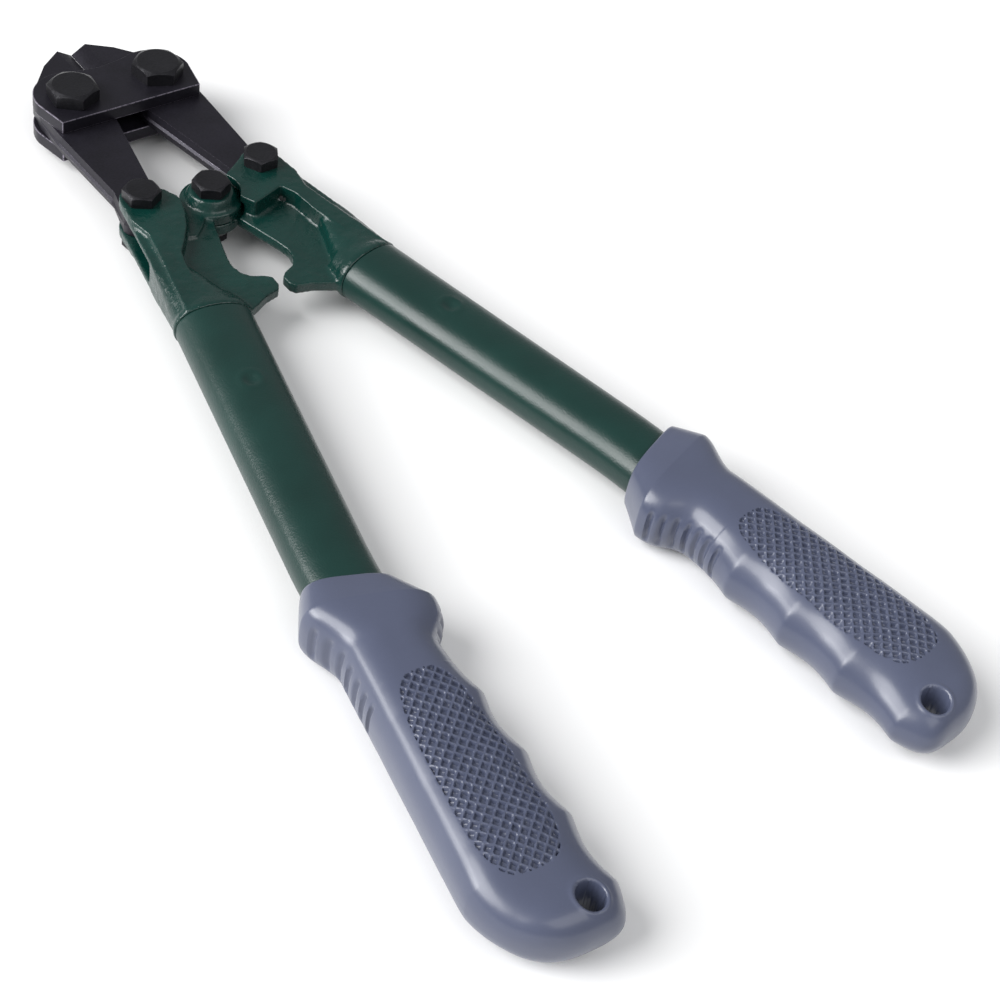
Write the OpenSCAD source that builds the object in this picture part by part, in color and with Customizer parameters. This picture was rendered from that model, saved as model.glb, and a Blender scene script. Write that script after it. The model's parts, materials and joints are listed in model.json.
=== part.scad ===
// Bolt cutters with tubular handles: two forged jaws between two side plates, and two
// handle heads that form a toggle linkage with them. The tool lies flat on its side,
// jaws shut and pointing along +Y. All lengths are millimetres.

/* [Linkage] */
// Distance along the tool from the jaw bolts to the hanging holes
handle_reach = 310; // [260:1:380]
// Distance between the two jaw bolts
jaw_bolt_gap = 29.2; // [27:0.1:36]
// Distance between the two tail bolts with the jaws shut
tail_bolt_gap = 40.4; // [38:0.1:48]
// How far the tail bolts lie behind the jaw bolts
tail_reach = 51.9; // [46:0.1:64]
// How far the centre bolt lies behind the tail bolts
toggle_drop = 5.2; // [4:0.1:7]

/* [Jaws] */
// Thickness of the jaws
jaw_t = 6; // [5:0.1:8]
// How far the jaw tips lie ahead of the jaw bolts
tip_reach = 28.7; // [26:0.1:36]
// Width of each jaw's blunt tip
tip_w = 4.9; // [4:0.1:6]
// Length of the cutting edges
edge_len = 13; // [9:0.1:15]
// Gap left between the shut cutting edges
edge_gap = 0.2; // [0.1:0.05:0.6]
// Width of a jaw's tail where it leaves the plates
tail_w = 18.8; // [14:0.1:20]
// Width of a jaw's tail just before the tail bolt
tail_end_w = 12.6; // [11:0.1:14]

/* [Side plates] */
// Thickness of each side plate
plate_t = 4.2; // [3:0.1:6]
// Radius of each plate's lobe round a jaw bolt
lobe_r = 11.6; // [10:0.1:14]
// How far the plates' straight rear edge lies behind the jaw bolts
plate_back = 10.6; // [8:0.1:14]
// How far the plates' front edge lies ahead of the jaw bolts at the middle
plate_front = 10.4; // [7:0.1:12]

/* [Fasteners] */
// Shank diameter of the jaw bolts
jaw_bolt_d = 8; // [6:0.5:10]
// Width across flats of the jaw bolts' heads and nuts
jaw_bolt_af = 14; // [12:0.5:17]
// Height of the jaw bolts' heads
jaw_head_h = 4.5; // [3.5:0.1:6]
// Height of the jaw bolts' nuts
jaw_nut_h = 3.8; // [3:0.1:6]
// Shank diameter of the tail bolts and the centre bolt
link_bolt_d = 6; // [5:0.5:8]
// Width across flats of the tail bolts' and the centre bolt's heads and nuts
link_bolt_af = 10; // [9:0.5:12]
// Height of the tail bolts' and the centre bolt's heads
link_head_h = 3.6; // [3:0.1:5]
// Height of the tail bolts' and the centre bolt's nuts
link_nut_h = 3.6; // [3:0.1:4.2]

/* [Handle heads] */
// Thickness of each ear of the forks
ear_t = 3.5; // [2.5:0.1:5]
// Radius of the ears round the tail bolts
ear_r = 6.5; // [6:0.1:8]
// Radius of the eye round the centre bolt
eye_r = 9.2; // [9:0.1:10.4]
// Radius of the boss under the centre bolt's head
boss_r = 8.2; // [7:0.1:8.8]
// Depth from the ears' face down to the deep side of the web
web_deep = 5.6; // [4:0.1:6]
// Depth from the ears' face down to the shallow side of the web
web_shallow = 4.4; // [4:0.1:5]
// Height of the boss above the face of the eye
boss_h = 3.1; // [2.5:0.1:3.4]
// How far the handle tube's shoulder lies behind the centre bolt
shoulder_back = 46; // [42:0.5:60]
// Distance of the shoulder from the tool's middle line
shoulder_x = 26; // [25:0.1:32]
// Gap between the two stop lugs with the jaws shut
lug_gap = 3.4; // [2:0.1:8]
// Length of the spigot inside the tube
spigot_len = 34; // [20:1:45]

/* [Handle tubes] */
// Angle of each tube from the tool's middle line
splay = 12.8; // [10:0.1:15]
// Width of a tube at the shoulder
tube_w = 22.5; // [19:0.1:25]
// Width of a tube at its hidden end
tube_end_w = 19.5; // [16:0.1:20]
// Thickness of a tube
tube_t = 15.2; // [13:0.1:16.5]
// Wall of a tube
tube_wall = 1.6; // [1:0.1:2.5]
// Angle of each tube inside its grip
grip_angle = 5; // [3:0.1:9]

/* [Grips] */
// Thickness of a grip over the palm
grip_t = 21.6; // [20:0.1:27]
// Thickness of a grip at the hanging hole
grip_end_t = 17; // [15:0.1:19]
// Width of the flared collar
collar_w = 35; // [31:0.1:38]
// Pitch of the finger grooves
finger_pitch = 19.4; // [18:0.1:22]
// Depth of the finger grooves
finger_depth = 1.9; // [1:0.1:2.6]
// Diameter of the hanging hole
hang_d = 7.4; // [5:0.1:8]

/* [Clearances] */
// Radial clearance of a bolt in a hole that turns on it
run_gap = 0.06; // [0.02:0.01:0.1]
// Radial clearance of a bolt in a hole of its own body
seat_gap = 0.04; // [0.02:0.01:0.1]
// Gap between faces that slide over each other
face_gap = 0.15; // [0.1:0.01:0.4]
// Extra radius of the right jaw's tail hole, which takes up the linkage's slack
slack_gap = 1.3; // [1.2:0.05:1.6]
// Clearance between the tube and what fits inside or over it
sleeve_gap = 0.1; // [0.05:0.01:0.3]

/* [Hidden] */

eps = 0.01;
far = 60;

// The bolt axes, in a frame whose origin is midway between the jaw bolts
jaw_pin = [jaw_bolt_gap / 2, 0];
tail_pin = [tail_bolt_gap / 2, -tail_reach];
centre_pin = [0, -tail_reach - toggle_drop];

// Heights above and below the tool's middle plane
fork_half = jaw_t / 2 + face_gap;
ear_top = fork_half + ear_t;
plate_seat = jaw_t / 2 + face_gap / 3;
plate_top = plate_seat + plate_t;
web_up = ear_top - web_deep;
web_down = ear_top - web_shallow;
eye_face = ear_top - boss_h;
mid_z = max(grip_t / 2, plate_top + jaw_nut_h);

// The jaws' tails
tail_end_r = max(tail_end_w / 2, link_bolt_d / 2 + slack_gap + 1.8);
slot_r = tail_end_r + slack_gap + 0.3;

// The handle's centre line: straight, then one bend, then straight inside the grip.
// s is the distance from the shoulder along it.
shoulder_y = centre_pin.y - shoulder_back;
bend_r = 200;
bend_len = (splay - grip_angle) * PI / 180 * bend_r;
bend_to_hole = 119;
straight_len = (handle_reach + shoulder_y - bend_to_hole) / cos(splay);
collar_s = straight_len + 15;
tube_len = straight_len + 108;

function path_angle(s) = s < straight_len ? splay
    : s > straight_len + bend_len ? grip_angle
    : splay - (s - straight_len) / bend_r * 180 / PI;
function run(a) = [sin(a), -cos(a)];
function side(a) = [cos(a), sin(a)];
bend_start = [shoulder_x, shoulder_y] + straight_len * run(splay);
bend_centre = bend_start - bend_r * side(splay);
bend_end = bend_centre + bend_r * side(grip_angle);
function path_point(s) = s < straight_len ? [shoulder_x, shoulder_y] + s * run(splay)
    : s > straight_len + bend_len ? bend_end + (s - straight_len - bend_len) * run(grip_angle)
    : bend_centre + bend_r * side(path_angle(s));

// The grip: distances behind the collar's front edge
flare_s = 9;
neck_s = 21;
finger_s = 24;
fingers = 4;
hole_s = (-handle_reach - bend_end.y) / -cos(grip_angle) + straight_len + bend_len - collar_s;
grip_len = hole_s + 7;
hole_u = -3.9;
// How far the grip's middle lies outside the tube's middle at the collar
collar_shift = -0.9;
// How much further the collar leans than a plane square to the tube
collar_lean = 13;
// Exponents of the grip's section: rounder towards the fingers, squarer in the palm
inner_power = 2.1;
outer_power = 2.8;

// Places the whole tool: centred in X and Y, its lowest faces at z = 0
front_y = tip_reach;
rear_y = path_point(collar_s + grip_len).y - 0.6;
origin_y = -(front_y + rear_y) / 2;
module placed() translate([0, origin_y, mid_z]) children();

module steel() color([0.13, 0.13, 0.16]) children();
module green() color([0.03, 0.24, 0.19]) children();
module grey() color([0.45, 0.48, 0.55]) children();

function arc(c, r, a0, a1, n = 10) =
    [for (i = [0:n]) c + r * [cos(a0 + (a1 - a0) * i / n), sin(a0 + (a1 - a0) * i / n)]];
function flip(pts) = [for (i = [len(pts) - 1:-1:0]) [-pts[i].x, pts[i].y]];

// ---- jaws ----
pivot_y = -plate_back - 1.4;
function jaw_outline() = concat(
    [[edge_gap / 2, tip_reach], [edge_gap / 2, tip_reach - edge_len - 2], [3.4, 2],
     [tail_root_in, pivot_y]],
    arc(tail_pin, tail_end_r, 188, 352),
    [[tail_end_out, -tail_reach + 10], [tail_root_in + tail_w, pivot_y],
     [tail_root_in + tail_w, 2], [jaw_pin.x + 8.4, 10],
     [tip_w + 13.6, tip_reach - 12.7], [tip_w + 7.4, tip_reach - 5.4], [tip_w, tip_reach]]);
tail_root_in = jaw_pin.x - 8.7;
tail_end_out = tail_pin.x + 3.4;
// Angle of the tail's inner side from the tool's middle line
tail_lean = atan2(tail_pin.x - tail_end_r - tail_root_in, pivot_y - tail_pin.y);

module jaw(hole_gap) {
    difference() {
        translate([0, 0, -jaw_t / 2]) linear_extrude(jaw_t) polygon(jaw_outline());
        for (s = [-1, 1]) scale([1, 1, s]) edge_bevel();
        translate([jaw_pin.x, jaw_pin.y, -far / 2])
            cylinder(r = jaw_bolt_d / 2 + run_gap, h = far, $fn = 48);
        translate([tail_pin.x, tail_pin.y, -far / 2])
            cylinder(r = link_bolt_d / 2 + hole_gap, h = far, $fn = 48);
    }
}
// The ground facet that runs from a jaw's face down to its cutting edge
module edge_bevel() {
    land = 0.12;
    translate([0, tip_reach + eps, 0]) rotate([90, 0, 0]) linear_extrude(edge_len)
        polygon([[-1, land], [edge_gap / 2, land], [tip_w, jaw_t / 2 + eps], [-1, jaw_t / 2 + eps]]);
}
module jaw_left() placed() steel() mirror([1, 0, 0]) jaw(run_gap);
module jaw_right() placed() steel() jaw(slack_gap);

// ---- side plates ----
function plate_half() = concat(
    [[0, -plate_back], [jaw_pin.x + 9.1, -plate_back]],
    arc(jaw_pin + [-0.2, 1.5], lobe_r, -4, 118, 14),
    [[0, plate_front]]);
module plate(z0) {
    difference() {
        translate([0, 0, z0]) linear_extrude(plate_t)
            polygon(concat(plate_half(), flip(plate_half())));
        for (s = [-1, 1]) translate([s * jaw_pin.x, 0, -far / 2])
            cylinder(r = jaw_bolt_d / 2 + seat_gap, h = far, $fn = 48);
    }
}
module top_plate() placed() steel() plate(plate_seat);
module bottom_plate() placed() steel() plate(-plate_top);

// ---- bolts and nuts ----
module hexagon(af, h, turn) rotate([0, 0, turn]) cylinder(d = af / cos(30), h = h, $fn = 6);
module bolt(d, af, head_h, under, tip, turn) {
    translate([0, 0, under]) hexagon(af, head_h, turn);
    translate([0, 0, tip]) cylinder(d = d, h = under - tip + eps, $fn = 48);
}
module nut(d, af, h, turn) difference() {
    hexagon(af, h, turn);
    translate([0, 0, -1]) cylinder(r = d / 2 + seat_gap, h = h + 2, $fn = 48);
}
module jaw_bolt(side_x, turn) placed() steel() translate([side_x * jaw_pin.x, 0, 0])
    bolt(jaw_bolt_d, jaw_bolt_af, jaw_head_h, plate_top, -plate_top - jaw_nut_h + 0.2, turn);
module jaw_nut(side_x, turn) placed() steel()
    translate([side_x * jaw_pin.x, 0, -plate_top - jaw_nut_h])
        nut(jaw_bolt_d, jaw_bolt_af, jaw_nut_h, turn);
module tail_bolt(side_x, turn) placed() steel() translate([side_x * tail_pin.x, tail_pin.y, 0])
    bolt(link_bolt_d, link_bolt_af, link_head_h, ear_top, -ear_top - link_nut_h + 0.2, turn);
module tail_nut(side_x, turn) placed() steel()
    translate([side_x * tail_pin.x, tail_pin.y, -ear_top - link_nut_h])
        nut(link_bolt_d, link_bolt_af, link_nut_h, turn);

module jaw_bolt_left() jaw_bolt(-1, 54);
module jaw_bolt_right() jaw_bolt(1, 8);
module jaw_nut_left() jaw_nut(-1, 20);
module jaw_nut_right() jaw_nut(1, 40);
module tail_bolt_left() tail_bolt(-1, 0);
module tail_bolt_right() tail_bolt(1, 30);
module tail_nut_left() tail_nut(-1, 15);
module tail_nut_right() tail_nut(1, 45);
module centre_bolt() placed() steel() translate([0, centre_pin.y, 0])
    bolt(link_bolt_d, link_bolt_af, link_head_h, ear_top, -ear_top - link_nut_h + 0.2, 58);
module centre_nut() placed() steel() translate([0, centre_pin.y, -ear_top - link_nut_h])
    nut(link_bolt_d, link_bolt_af, link_nut_h, 35);

// ---- handle heads ----
// Both heads are the same forging, one of them turned over. This is the right one: its
// upper ear is wide, and its eye fills the lower half of the joint at the centre bolt.
hub = centre_pin;
tail = tail_pin;
rail_in = tail.x + 2.4;
rail_out = tail.x + 6.3;
oval_at_top = 0.34;
slot_end = hub.y - 18.5;
// The outer line of the rail at the middle plane runs straight on from the tube's edge
function rail_line(y) = shoulder_x + tube_w / 2 / cos(splay) - (y - shoulder_y) * tan(splay);

function rail_side() = [[shoulder_x + tube_w * oval_at_top, shoulder_y + 2.5],
    [rail_out + 1.8, hub.y - 19], [rail_out, hub.y - 10], [tail.x + 7.6, hub.y - 3]];
function wide_ear() = concat(
    rail_side(), arc(tail, ear_r, 0, 140),
    arc(hub, boss_r - 1, 30, -40, 6),
    [[8.6, hub.y - 11.2], [tail.x - 0.8, hub.y - 7.6], [rail_in - 1, hub.y - 12],
     [rail_in, hub.y - 22], [rail_in + 4.6, hub.y - 41], [shoulder_x, shoulder_y + 2.5]]);
function narrow_ear() = concat(
    rail_side(), arc(tail, ear_r, 0, 130),
    [[12.2, tail.y + 1.2], [eye_r + 1.2, hub.y + 2.5], [eye_r + 1.2, hub.y - 1], [12, hub.y - 6],
     [14.5, hub.y - 11], [18, hub.y - 16], [rail_in - 0.6, hub.y - 21],
     [rail_in + 4.6, hub.y - 41], [shoulder_x, shoulder_y + 2.5]]);
function web() = concat(
    arc(hub, eye_r - 2, 40, -62, 8),
    [[8.7, hub.y - 24], [9.5, hub.y - 28], [8.9, hub.y - 32], [7, hub.y - 34.4],
     [lug_gap / 2 + 1.8, hub.y - 36], [lug_gap / 2, hub.y - 37.8], [lug_gap / 2, hub.y - 41],
     [lug_gap / 2 + 1.4, hub.y - 43], [8, hub.y - 44.2], [11.5, hub.y - 46],
     shoulder_point(-tube_w * 0.45), shoulder_point(0),
     [rail_in + 7, hub.y - 40], [rail_in + 2, hub.y - 18], [tail.x, hub.y - 6], [tail.x - 4, hub.y + 2]]);
// The thick arm that joins the eye to the ears
function eye_arm() = concat(arc(hub, eye_r - 2, 40, -50, 6),
    [[8.8, hub.y - 10.5], [12.5, hub.y - 13.5], [tail.x - 2, hub.y - 12], [tail.x - 4, hub.y + 2]]);
// The cheeks widen both ears below their top edges, straight from the tail bolt to the rail
cheek_drop = 1.6;
cheek_end = slot_end - 6;
function cheeks() = [[tail.x, tail.y], [tail.x + ear_r - eps, tail.y],
    [rail_line(slot_end) - shoulder_gap, slot_end],
    [rail_line(cheek_end) - shoulder_gap, cheek_end], [rail_in + 1, cheek_end]];
// A point just ahead of the tube's front plane
shoulder_gap = 0.2;
function shoulder_point(across) = [shoulder_x, shoulder_y] + across * side(splay) - shoulder_gap * run(splay);
// The fork's slot, open towards the jaw and on the outer side
function slot() = concat(
    arc(tail, slot_r, 180 + tail_lean, 215),
    [[tail.x + 6, slot_end + 1], [tail.x + 8.5, slot_end], [tail.x + far, slot_end],
     [tail.x + far, tail.y + far],
     tail - slot_r * side(tail_lean) - far * run(tail_lean)]);

module oval_slab(s, w, t, len) {
    p = path_point(s);
    translate([p.x, p.y, 0]) rotate([0, 0, path_angle(s)]) rotate([90, 0, 0])
        linear_extrude(len) polygon(oval(w, t, 32));
}
function oval(w, t, n) = [for (i = [0:n - 1]) oval_point(w, t, 360 * i / n)];
function oval_point(w, t, a) = [w / 2 * blunt(cos(a), oval_power), t / 2 * blunt(sin(a), oval_power)];
function blunt(v, power) = sign(v) * pow(abs(v), 2 / power);
oval_power = 2.3;

module handle_head() {
    eye_gap = 0.1;
    difference() {
        union() {
            linear_extrude(ear_top) polygon(wide_ear());
            translate([0, 0, cheek_drop - ear_top])
                linear_extrude(2 * (ear_top - cheek_drop)) polygon(cheeks());
            translate([0, 0, -ear_top]) linear_extrude(ear_top) polygon(narrow_ear());
            translate([0, 0, -web_down]) linear_extrude(web_up + web_down) polygon(web());
            translate([hub.x, hub.y, -eye_face]) cylinder(r = eye_r, h = eye_face - eye_gap, $fn = 64);
            translate([0, 0, -eye_face]) linear_extrude(eye_face - eye_gap) polygon(eye_arm());
            hull() {
                oval_slab(-1.5, tube_w + 0.7, tube_t + 0.7, 1.5);
                oval_slab(-8, tube_w * 0.8, tube_t * 0.84, 1);
            }
            hull() {
                oval_slab(-1.2, tube_w - 0.4, tube_t - 0.4, 1);
                translate([rail_in + 1.5, hub.y - 23, -ear_top + 1])
                    cube([rail_out - rail_in + 0.4, 1, 2 * ear_top - 2]);
                translate([rail_in + 1.5, slot_end - 3, cheek_drop - ear_top])
                    cube([rail_line(slot_end - 3) - rail_in - 1.8, 1, 2 * (ear_top - cheek_drop)]);
            }
            oval_slab(-1, tube_width(spigot_len) - 2 * (tube_wall + sleeve_gap),
                tube_t - 2 * (tube_wall + sleeve_gap), spigot_len + 1);
        }
        translate([0, 0, -fork_half]) linear_extrude(2 * fork_half) polygon(slot());
        translate([hub.x, hub.y, -eye_gap]) cylinder(r = eye_r + 1, h = eye_face + 0.4, $fn = 64);
        translate([hub.x, hub.y, -eye_gap]) cylinder(r = boss_r + 0.5, h = far, $fn = 64);
        translate([hub.x, hub.y, -far]) cylinder(r = boss_r + 0.5, h = far - eye_face, $fn = 64);
        for (p = [hub, tail]) translate([p.x, p.y, -far])
            cylinder(r = link_bolt_d / 2 + run_gap, h = 2 * far, $fn = 48);
    }
    difference() {
        translate([hub.x, hub.y, -ear_top])
            cylinder(r1 = boss_r - 1.8, r2 = boss_r, h = boss_h + 0.2, $fn = 64);
        translate([hub.x, hub.y, -far]) cylinder(r = link_bolt_d / 2 + run_gap, h = 2 * far, $fn = 48);
    }
}
module handle_head_right() placed() green() handle_head();
module handle_head_left() placed() green() rotate([0, 180, 0]) handle_head();

// ---- handle tubes ----
// A closed skin through rings of equal length; ends = true caps both ends
function ring(s, u0, u1, t, n, power_in = oval_power, power_out = oval_power, lean = 0) =
    let (p = path_point(s), a = path_angle(s) + lean)
    [for (i = [0:n - 1]) let (f = 360 * i / n, power = cos(f) < 0 ? power_in : power_out,
        u = (u0 + u1) / 2 + (u1 - u0) / 2 * blunt(cos(f), power), z = t / 2 * blunt(sin(f), power),
        q = p + u * side(a)) [q.x, q.y, z]];
module skin(rings, looped = false) {
    n = len(rings[0]);
    m = len(rings);
    last = looped ? m - 1 : m - 2;
    polyhedron(points = [for (r = rings) each r],
        faces = concat(
            [for (j = [0:last], i = [0:n - 1]) let (k = (j + 1) % m, l = (i + 1) % n)
                each [[j * n + i, k * n + i, k * n + l], [j * n + i, k * n + l, j * n + l]]],
            looped ? [] : [[for (i = [0:n - 1]) i], [for (i = [n - 1:-1:0]) (m - 1) * n + i]]));
}
function tube_width(s) = tube_w + (tube_end_w - tube_w) * s / tube_len;
tube_stations = [0, straight_len, for (i = [1:3]) straight_len + bend_len * i / 3, tube_len];
module handle_tube() {
    outer = [for (s = tube_stations) ring(s, -tube_width(s) / 2, tube_width(s) / 2, tube_t, 32)];
    inner = [for (i = [len(tube_stations) - 1:-1:0])
        let (s = tube_stations[i], w = tube_width(s) / 2 - tube_wall)
        ring(s, -w, w, tube_t - 2 * tube_wall, 32)];
    skin(concat(outer, inner), looped = true);
}
module handle_tube_right() placed() green() handle_tube();
module handle_tube_left() placed() green() rotate([0, 180, 0]) handle_tube();

// ---- grips ----
// Half widths of the grip towards the tool's middle and away from it, and its thickness,
// at a distance v behind the collar's front edge
grip_v_end = finger_s + finger_pitch * fingers;
function mix(a, b, t) = a + (b - a) * max(0, min(1, t));
function ease(t) = let (q = max(0, min(1, t))) q * q * (3 - 2 * q);
// 0 on the ridges between the fingers, 1 at the bottom of the grooves
function finger_wave(turns) = turns < 0.5 ? ease(turns * 2 + 1) : abs(sin(180 * turns));
function grip_inner(v) = v < flare_s
    ? mix(tube_w / 2 + 1.2, collar_w / 2 - collar_shift, v / flare_s)
    : mix(collar_w / 2 - collar_shift, 14, ease((v - flare_s) / 15)) + mix(0, 0.6, (v - finger_s) / 40)
      - finger_depth * finger_wave((v - finger_s) / finger_pitch);
function grip_outer(v) = v < flare_s
    ? mix(tube_w / 2 + 1.2, collar_w / 2 + collar_shift, v / flare_s)
    : mix(collar_w / 2 + collar_shift, 12.6, ease((v - flare_s) / 12)) + mix(0, 7.2, (v - neck_s) / 70);
function grip_thick(v) = v < flare_s ? mix(tube_t + 2.4, grip_t, v / flare_s)
    : mix(grip_t, grip_end_t, ease((v - 82) / 22));
round_v = grip_len - 24;
function grip_ring(v) = let (q = max(0, (v - round_v) / (grip_len - round_v)),
        close_out = 1 - sqrt(max(0, 1 - q * q)), close_in = 1 - sqrt(max(0, 1 - pow(q, 8))),
        t = grip_thick(v) * (1 - 0.5 * pow(q, 6)))
    ring(collar_s + v, -grip_inner(v) + close_in * 6, grip_outer(v) - close_out * 20, t, 32,
        inner_power, outer_power, collar_lean * (1 - ease((v - flare_s - 3) / 22)));
grip_stations = [0, 4, flare_s, 12, 15, 18, 21, for (i = [0:24]) finger_s + finger_pitch * i / 6,
    for (i = [1:5]) grip_v_end + (grip_len - grip_v_end) * i / 5];
cavity_len = tube_len - collar_s + 1;
cavity_stations = [cavity_len, for (i = [2:-1:0]) max(0.5, bend_len - 15) * i / 2];

module grip() {
    difference() {
        skin(concat(
            [for (s = cavity_stations) let (w = tube_width(collar_s + s) / 2 + sleeve_gap)
                ring(collar_s + s, -w, w, tube_t + 2 * sleeve_gap, 32)],
            [for (v = grip_stations) grip_ring(v)]));
        hole = path_point(collar_s + hole_s) + hole_u * side(grip_angle);
        translate([hole.x, hole.y, -far / 2]) cylinder(d = hang_d, h = far, $fn = 48);
    }
}
module grip_right() placed() grey() grip();
module grip_left() placed() grey() rotate([0, 180, 0]) grip();

jaw_left();
jaw_right();
top_plate();
bottom_plate();
jaw_bolt_left();
jaw_bolt_right();
jaw_nut_left();
jaw_nut_right();
tail_bolt_left();
tail_bolt_right();
tail_nut_left();
tail_nut_right();
centre_bolt();
centre_nut();
handle_head_left();
handle_head_right();
handle_tube_left();
handle_tube_right();
grip_left();
grip_right();
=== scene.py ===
"""Bolt cutters: forged jaws, cast handle heads, oval tubes and moulded grips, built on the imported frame."""
import json
import math

import bpy
import numpy as np
from bpy.props import FloatProperty, FloatVectorProperty, IntProperty, PointerProperty
from mathutils import Matrix, Vector, noise


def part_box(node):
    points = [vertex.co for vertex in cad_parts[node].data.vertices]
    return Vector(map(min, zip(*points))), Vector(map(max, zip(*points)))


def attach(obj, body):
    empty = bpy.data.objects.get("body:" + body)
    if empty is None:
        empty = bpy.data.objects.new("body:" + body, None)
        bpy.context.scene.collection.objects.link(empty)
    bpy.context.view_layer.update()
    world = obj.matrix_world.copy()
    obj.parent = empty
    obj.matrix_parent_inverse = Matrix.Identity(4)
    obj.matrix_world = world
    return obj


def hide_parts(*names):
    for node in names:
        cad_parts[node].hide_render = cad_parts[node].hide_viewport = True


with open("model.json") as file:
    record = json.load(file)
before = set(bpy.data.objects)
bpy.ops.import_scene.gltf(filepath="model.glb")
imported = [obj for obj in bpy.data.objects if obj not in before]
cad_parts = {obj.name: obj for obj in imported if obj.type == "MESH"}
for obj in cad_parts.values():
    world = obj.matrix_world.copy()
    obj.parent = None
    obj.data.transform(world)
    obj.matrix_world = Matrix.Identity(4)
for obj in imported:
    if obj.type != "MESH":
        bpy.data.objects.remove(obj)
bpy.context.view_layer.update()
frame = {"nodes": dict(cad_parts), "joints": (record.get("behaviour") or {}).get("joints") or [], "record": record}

bl_info = {
    "name": "Bolt cutters",
    "version": (1, 0, 0),
    "blender": (4, 5, 0),
    "location": "View3D > Sidebar > Bolt cutters",
    "description": "Builds the jaws, bolts, handle heads, tubes and grips of a pair of bolt cutters",
    "category": "Add Mesh",
}

MM = 0.001
PIVOTS = {joint["name"]: Vector(joint["pos_m"]) for joint in frame["joints"]}
JAW_PIN = Vector((-1, 1, 1)) * PIVOTS["left_jaw_pivot"]
TAIL_PIN = Vector((-1, 1, 1)) * PIVOTS["left_tail_pivot"]
CENTRE_PIN = PIVOTS["handle_pivot"]
MID_Z = CENTRE_PIN.z
HOLE = next(Vector(m["pos_m"]) for m in frame["record"]["mounts"] if m["name"] == "hanging_hole_right")
HOLE_R = next(m["dims"]["r_mm"] * MM for m in frame["record"]["mounts"])
BODY_OF = {node: body for body, nodes in frame["record"]["behaviour"]["bodies"].items() for node in nodes}


# ---- what a user would change ----
class SteelProps(bpy.types.PropertyGroup):
    """Sizes and colours of the black steel pieces"""
    edge_round: FloatProperty(name="Edge rounding", default=0.3 * MM, min=0, unit="LENGTH",
                              description="Width of the broken edge round the jaws and plates")
    draft: FloatProperty(name="Forging draft", default=0.6 * MM, min=0, unit="LENGTH",
                         description="How far the tails' sides swell towards the parting line")
    flash: FloatProperty(name="Parting ridge", default=0.5 * MM, min=0, unit="LENGTH",
                         description="How far the parting ridge stands out of the drafted side")
    chamfer: FloatProperty(name="Head chamfer", default=28.0, min=0, max=45,
                           description="Angle of the chamfer on the bolt heads, in degrees")
    oxide: FloatVectorProperty(name="Black oxide", subtype="COLOR", default=(0.014, 0.0128, 0.019),
                               description="Colour of the oxide on jaws and plates")
    bolt_oxide: FloatVectorProperty(name="Bolt oxide", subtype="COLOR", default=(0.012, 0.0118, 0.0145),
                                    description="Colour of the oxide on bolts and nuts")
    # This colour also paints the highlight line on the jaws' parting ridges
    bare: FloatVectorProperty(name="Bare steel", subtype="COLOR", default=(0.36, 0.33, 0.40),
                              description="Colour of the steel where an edge is rubbed bright")


class HandleProps(bpy.types.PropertyGroup):
    """Sizes and colours of the cast heads and the tubes"""
    voxel: FloatProperty(name="Casting detail", default=0.4 * MM, min=0.2 * MM, unit="LENGTH",
                         description="Size of the cells that the castings are remeshed with")
    shoulder_x: FloatProperty(name="Shoulder offset", default=26 * MM, unit="LENGTH",
                              description="Distance of the tube's shoulder from the tool's middle line")
    shoulder_back: FloatProperty(name="Shoulder distance", default=46 * MM, unit="LENGTH",
                                 description="How far the shoulder lies behind the centre bolt")
    splay: FloatProperty(name="Splay", default=math.radians(12.8), subtype="ANGLE",
                         description="Angle of the tube from the tool's middle line")
    grip_angle: FloatProperty(name="Grip angle", default=math.radians(5), subtype="ANGLE",
                              description="Angle of the tube inside its grip")
    bend_r: FloatProperty(name="Bend radius", default=200 * MM, unit="LENGTH",
                          description="Radius of the tube's bend")
    bend_to_hole: FloatProperty(name="Bend to hole", default=119 * MM, unit="LENGTH",
                                description="Distance from the start of the bend to the hanging hole")
    tube_w: FloatProperty(name="Tube width", default=22.5 * MM, unit="LENGTH",
                          description="Width of the tube at the shoulder")
    tube_end_w: FloatProperty(name="Tube end width", default=19.5 * MM, unit="LENGTH",
                              description="Width of the tube at its hidden end")
    tube_t: FloatProperty(name="Tube thickness", default=15.2 * MM, unit="LENGTH",
                          description="Thickness of the tube")
    tube_wall: FloatProperty(name="Tube wall", default=1.6 * MM, unit="LENGTH",
                             description="Wall of the tube")
    tube_past_bend: FloatProperty(name="Hidden tube", default=108 * MM, unit="LENGTH",
                                  description="Length of the tube behind the start of its bend")
    dimple_back: FloatProperty(name="Dimple distance", default=31 * MM, unit="LENGTH",
                               description="Distance of the staking dimple behind the shoulder")
    dimple_r: FloatProperty(name="Dimple radius", default=2.2 * MM, unit="LENGTH",
                            description="Radius of the staking dimple")
    dimple_depth: FloatProperty(name="Dimple depth", default=0.9 * MM, unit="LENGTH",
                                description="Depth of the staking dimple")
    paint: FloatVectorProperty(name="Green paint", subtype="COLOR", default=(0.0015, 0.026, 0.021),
                               description="Colour of the paint on castings and tubes")


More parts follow.
